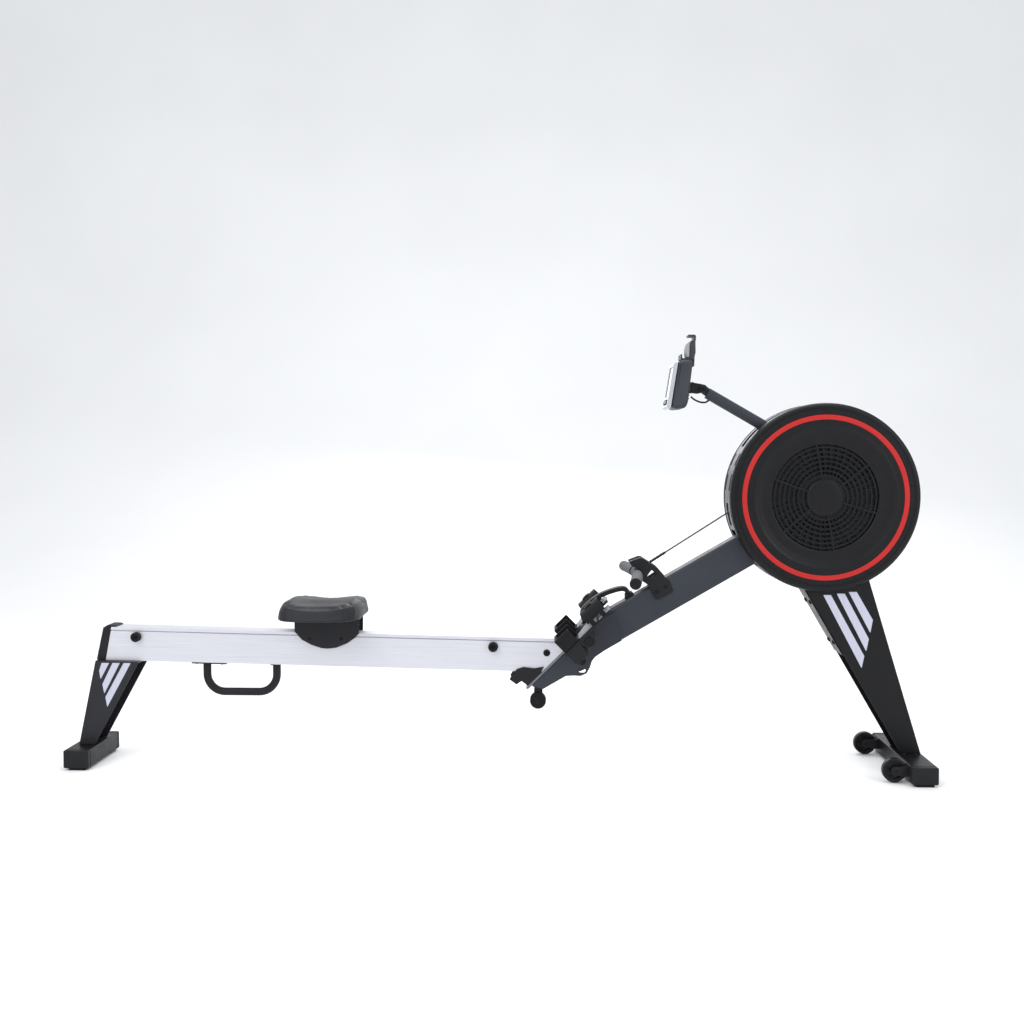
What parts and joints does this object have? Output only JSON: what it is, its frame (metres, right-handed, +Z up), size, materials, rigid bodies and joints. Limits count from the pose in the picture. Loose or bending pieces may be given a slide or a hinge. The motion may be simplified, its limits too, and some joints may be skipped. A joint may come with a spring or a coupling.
{
  "type": "rowing machine",
  "caption": "Rowing machine: fan cage on a raised boom, sliding saddle seat on a folding rail, pull handle on a belt, foot supports and a tilting monitor on an arm.",
  "frame": {"origin": "centre of the bounding box in X and Y, on the floor in Z", "axes": "+X from the rear foot to the fan, +Z up, -Y towards the side seen"},
  "size_m": [2.44, 0.5156, 1.239],
  "materials": {
    "frame_paint": "satin blue-grey powder coat",
    "black_steel": "semi-matt black powder coat",
    "cage_band": "satin pale grey",
    "black_plastic": "fine moulded texture",
    "grey_plastic": "fine moulded texture",
    "rail_aluminium": "brushed along its length",
    "bright_steel": "brushed",
    "fan_metal": "plain mill finish",
    "rubber": "matt",
    "grip_rubber": "matt, slightly rough",
    "seat_foam": "skinned foam, fine grain",
    "strap": "matt",
    "webbing": "woven",
    "screen": "polished",
    "bezel": "silver paint"
  },
  "bodies": {
    "frame": {"boom": "frame_paint", "boom_foot": "frame_paint", "caster_neck": "black_steel", "drive_frame": "black_steel", "axle": "bright_steel", "recoil_case": "black_plastic", "cage_band": "cage_band", "fan_cover_near": "black_plastic", "fan_cover_far": "black_plastic", "front_leg": "black_steel", "front_leg_flange": "black_steel", "front_foot": "black_steel", "front_foot_cap_near": "rubber", "front_foot_cap_far": "rubber", "handle_holder": "black_plastic", "pull_belt": "webbing", "foot_crossbar": "bright_steel", "foot_hoop": "black_plastic", "foot_plate_near": "black_plastic", "foot_plate_far": "black_plastic", "foot_strap_near": "strap", "foot_strap_far": "strap", "hinge_pin": "bright_steel"},
    "rail": {"rail": "rail_aluminium", "rail_end_cap": "black_plastic", "rail_front_plate": "bright_steel", "rail_hook": "black_plastic", "rail_bumper_rear": "rubber", "rail_bumper_front": "rubber", "rear_leg": "black_steel", "rear_foot": "black_steel", "rear_foot_cap_near": "rubber", "rear_foot_cap_far": "rubber", "carry_loop": "black_plastic"},
    "seat": {"seat_pad": "seat_foam", "seat_carriage": "black_plastic"},
    "roller_rear": {"seat_roller_rear": "grey_plastic"},
    "roller_front": {"seat_roller_front": "grey_plastic"},
    "handle": {"handle_bar": "grey_plastic", "handle_grip_near": "grip_rubber", "handle_grip_far": "grip_rubber"},
    "drum": {"belt_drum": "fan_metal"},
    "guide": {"guide_roller": "black_plastic"},
    "flywheel": {"fan_wheel": "fan_metal"},
    "damper": {"damper": "black_plastic"},
    "wheel_near": {"transport_wheel_near": "rubber"},
    "wheel_far": {"transport_wheel_far": "rubber"},
    "caster": {"caster_wheels": "rubber"},
    "shoe_near": {"flex_foot_near": "grey_plastic"},
    "shoe_far": {"flex_foot_far": "grey_plastic"},
    "arm": {"monitor_arm": "black_steel", "monitor_cable": "rubber"},
    "console": {"console_neck": "black_plastic", "console_back": "black_plastic", "console_bezel": "bezel", "console_screen": "screen", "phone_holder": "black_plastic", "phone_pad": "grey_plastic"},
    "jaw": {"phone_jaw": "black_plastic"},
    "keypad": {"console_keypad": "rubber"}
  },
  "joints": [
    {"name": "rail_fold", "type": "hinge", "parent": "frame", "child": "rail", "pos_m": [0.241, 0, 0.364], "axis": [0, 1, 0], "range_deg": [0, 80]},
    {"name": "seat_slide", "type": "slide", "parent": "rail", "child": "seat", "axis": [-0.9998, 0, 0.0208], "range_m": [-0.37, 0.44]},
    {"name": "roller_rear_spin", "type": "hinge", "parent": "seat", "child": "roller_rear", "pos_m": [-0.545, 0, 0.40554], "axis": [0, 1, 0], "continuous": true},
    {"name": "roller_front_spin", "type": "hinge", "parent": "seat", "child": "roller_front", "pos_m": [-0.41, 0, 0.40273], "axis": [0, 1, 0], "continuous": true},
    {"name": "handle_pull", "type": "slide", "parent": "frame", "child": "handle", "axis": [1, 0, 0], "range_m": [-1.2, 0], "stiffness_N_per_m": 20, "springref_m": 0.5, "deforming": ["pull_belt"]},
    {"name": "drum_spin", "type": "hinge", "parent": "frame", "child": "drum", "pos_m": [0.936, 0, 0.78], "axis": [0, 1, 0], "continuous": true},
    {"name": "guide_spin", "type": "hinge", "parent": "frame", "child": "guide", "pos_m": [0.706, 0, 0.738], "axis": [0, 1, 0], "continuous": true},
    {"name": "flywheel_spin", "type": "hinge", "parent": "frame", "child": "flywheel", "pos_m": [0.936, 0, 0.78], "axis": [0, 1, 0], "continuous": true},
    {"name": "damper_lever", "type": "hinge", "parent": "frame", "child": "damper", "pos_m": [0.936, 0, 0.78], "axis": [0, 1, 0], "range_deg": [0, 58]},
    {"name": "wheel_near_spin", "type": "hinge", "parent": "frame", "child": "wheel_near", "pos_m": [1.113, -0.15, 0.035], "axis": [0, 1, 0], "continuous": true},
    {"name": "wheel_far_spin", "type": "hinge", "parent": "frame", "child": "wheel_far", "pos_m": [1.113, 0.15, 0.035], "axis": [0, 1, 0], "continuous": true},
    {"name": "caster_spin", "type": "hinge", "parent": "frame", "child": "caster", "pos_m": [0.1323, 0, 0.1886], "axis": [0, 1, 0], "continuous": true},
    {"name": "shoe_near_slide", "type": "slide", "parent": "frame", "child": "shoe_near", "axis": [0.7071, 0, 0.7071], "range_m": [-0.02, 0.03]},
    {"name": "shoe_far_slide", "type": "slide", "parent": "frame", "child": "shoe_far", "axis": [0.7071, 0, 0.7071], "range_m": [-0.02, 0.03]},
    {"name": "arm_swing", "type": "hinge", "parent": "frame", "child": "arm", "pos_m": [0.86, 0, 0.9327], "axis": [0, 1, 0], "range_deg": [-12, 20]},
    {"name": "console_tilt", "type": "hinge", "parent": "arm", "child": "console", "pos_m": [0.6004, 0, 1.0876], "axis": [0, 1, 0], "range_deg": [-15, 15], "deforming": ["monitor_cable"]},
    {"name": "jaw_slide", "type": "slide", "parent": "console", "child": "jaw", "axis": [0, 0, 1], "range_m": [0, 0.02], "stiffness_N_per_m": 200, "springref_m": -0.02},
    {"name": "keypad_press", "type": "slide", "parent": "console", "child": "keypad", "axis": [1, 0, 0], "range_m": [0, 0.0015], "stiffness_N_per_m": 400, "springref_m": -0.002}
  ],
  "couplings": [
    {"joint": "drum_spin", "follows": "handle_pull", "rad_per_m": 22.173},
    {"joint": "guide_spin", "follows": "handle_pull", "rad_per_m": 70.922},
    {"joint": "roller_rear_spin", "follows": "seat_slide", "rad_per_m": -57.803},
    {"joint": "roller_front_spin", "follows": "seat_slide", "rad_per_m": -57.803}
  ]
}
